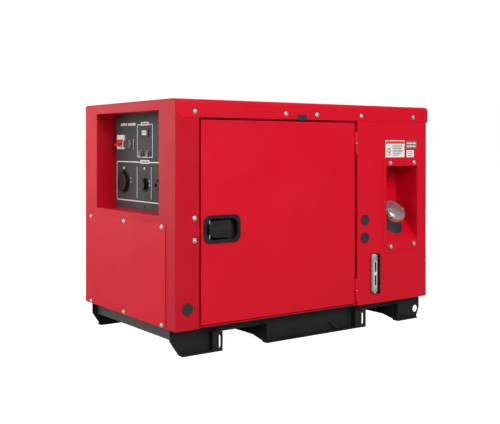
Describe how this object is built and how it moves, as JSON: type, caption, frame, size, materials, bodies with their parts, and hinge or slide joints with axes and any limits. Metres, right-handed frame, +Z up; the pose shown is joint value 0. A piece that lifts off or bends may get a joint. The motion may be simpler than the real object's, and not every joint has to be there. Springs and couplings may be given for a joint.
{
  "type": "engine driven welder",
  "caption": "Enclosed engine driven welder and generator: sheet-metal cabinet with a service door, recessed controls, fuel filler pocket and a fork-lift skid.",
  "frame": {"origin": "on the floor, under the middle of the whole object", "axes": "+X from the control end to the exhaust end, -Y out of the service door's side, +Z up"},
  "size_m": [1.0162, 0.622, 0.728],
  "materials": {
    "red_paint": "satin red paint on sheet steel",
    "skid_paint": "satin black paint",
    "skirt_paint": "dark grey paint",
    "plate_paint": "dark grey enamel plate",
    "zinc": "zinc plated",
    "steel": "machined",
    "latch_plastic": "grained nylon",
    "black_plastic": "moulded",
    "red_plastic": "moulded",
    "grey_plastic": "moulded",
    "white_plastic": "moulded",
    "clear_plastic": "clear moulding",
    "lamp_plastic": "lens",
    "rubber": "matt",
    "foam": "acoustic foam",
    "chrome": "bright",
    "cast_aluminium": "sand cast",
    "cast_iron": "black painted casting",
    "tank_paint": "black paint",
    "muffler_paint": "heat resistant silver grey",
    "battery_plastic": "moulded"
  },
  "bodies": {
    "cabinet": {"control_end_panel": "red_paint", "lower_end_cover": "red_paint", "control_recess_box": "red_paint", "roof_panel": "red_paint", "front_right_panel": "red_paint", "rear_panel": "red_paint", "exhaust_end_panel": "red_paint", "filler_pocket": "red_paint", "door_frame": "red_paint", "hinge_frame_leaves": "red_paint", "base_tray": "skid_paint", "skid_rail_front": "skid_paint", "skid_rail_rear": "skid_paint", "fork_channels": "skid_paint", "end_skirts": "skirt_paint", "control_plate": "plate_paint", "flange_screws": "zinc", "gauge_bolts": "zinc", "filler_neck": "steel", "gauge_guard": "latch_plastic", "fuse_holders": "grey_plastic", "hour_meter": "black_plastic", "large_socket": "black_plastic", "small_socket": "black_plastic", "weld_terminals": "black_plastic", "air_cleaner": "black_plastic", "main_breaker": "white_plastic", "gauge_body": "clear_plastic", "indicator_lamps": "lamp_plastic", "rubber_plugs": "rubber", "filler_boot": "rubber", "rubber_mounts": "rubber", "door_seal": "rubber", "key_switch": "chrome", "crankcase": "cast_aluminium", "cylinder_head": "cast_aluminium", "cylinder_barrel": "cast_iron", "generator_housing": "cast_iron", "weld_reactor": "cast_iron", "fuel_tank": "tank_paint", "cooling_shroud": "tank_paint", "muffler": "muffler_paint", "battery": "battery_plastic"},
    "door": {"front_door": "red_paint", "door_foam": "foam", "hinge_door_leaves": "red_paint", "door_pins": "zinc", "latch_bezel": "latch_plastic"},
    "paddle": {"latch_paddle": "latch_plastic"},
    "bolt": {"latch_bolt": "zinc"},
    "cap_seal": {"cap_gasket": "rubber"},
    "cap": {"fuel_cap": "chrome"},
    "toggle": {"breaker_toggle": "red_plastic"},
    "key": {"start_key": "steel"},
    "dial": {"current_dial": "black_plastic"},
    "large_lid": {"large_socket_lid": "black_plastic"},
    "small_lid": {"small_socket_lid": "black_plastic"},
    "rotating_group": {"crankshaft": "steel", "flywheel_fan": "cast_aluminium", "generator_rotor": "steel"}
  },
  "joints": [
    {"name": "door_hinge", "type": "hinge", "parent": "cabinet", "child": "door", "pos_m": [0.1745, -0.296, 0.35], "axis": [0, 0, 1], "range_deg": [0, 120]},
    {"name": "paddle_pull", "type": "hinge", "parent": "door", "child": "paddle", "pos_m": [-0.387, -0.291, 0.3565], "axis": [0, 0, -1], "range_deg": [0, 38], "stiffness_Nm_per_rad": 0.4},
    {"name": "bolt_slide", "type": "slide", "parent": "door", "child": "bolt", "axis": [1, 0, 0], "range_m": [0, 0.008]},
    {"name": "cap_lift", "type": "slide", "parent": "cabinet", "child": "cap_seal", "axis": [0, -0.7071, 0.7071], "range_m": [0, 0.06]},
    {"name": "cap_turn", "type": "hinge", "parent": "cap_seal", "child": "cap", "pos_m": [0.382, -0.227, 0.345], "axis": [0, -0.7071, 0.7071], "range_deg": [0, 90]},
    {"name": "breaker_switch", "type": "hinge", "parent": "cabinet", "child": "toggle", "pos_m": [-0.437, 0.162, 0.608], "axis": [0, 1, 0], "range_deg": [0, 70]},
    {"name": "key_turn", "type": "hinge", "parent": "cabinet", "child": "key", "pos_m": [-0.432, 0.109, 0.601], "axis": [-1, 0, 0], "range_deg": [0, 90]},
    {"name": "dial_turn", "type": "hinge", "parent": "cabinet", "child": "dial", "pos_m": [-0.432, -0.11, 0.612], "axis": [-1, 0, 0], "range_deg": [0, 270]},
    {"name": "large_lid_hinge", "type": "hinge", "parent": "cabinet", "child": "large_lid", "pos_m": [-0.439, 0.149, 0.513], "axis": [0, 1, 0], "range_deg": [0, 105], "stiffness_Nm_per_rad": 0.02},
    {"name": "small_lid_hinge", "type": "hinge", "parent": "cabinet", "child": "small_lid", "pos_m": [-0.439, 0.01, 0.492], "axis": [0, 1, 0], "range_deg": [0, 105], "stiffness_Nm_per_rad": 0.01},
    {"name": "engine_spin", "type": "hinge", "parent": "cabinet", "child": "rotating_group", "pos_m": [0, 0.02, 0.255], "axis": [1, 0, 0], "continuous": true}
  ],
  "couplings": [
    {"joint": "bolt_slide", "follows": "paddle_pull", "m_per_rad": 0.012}
  ]
}
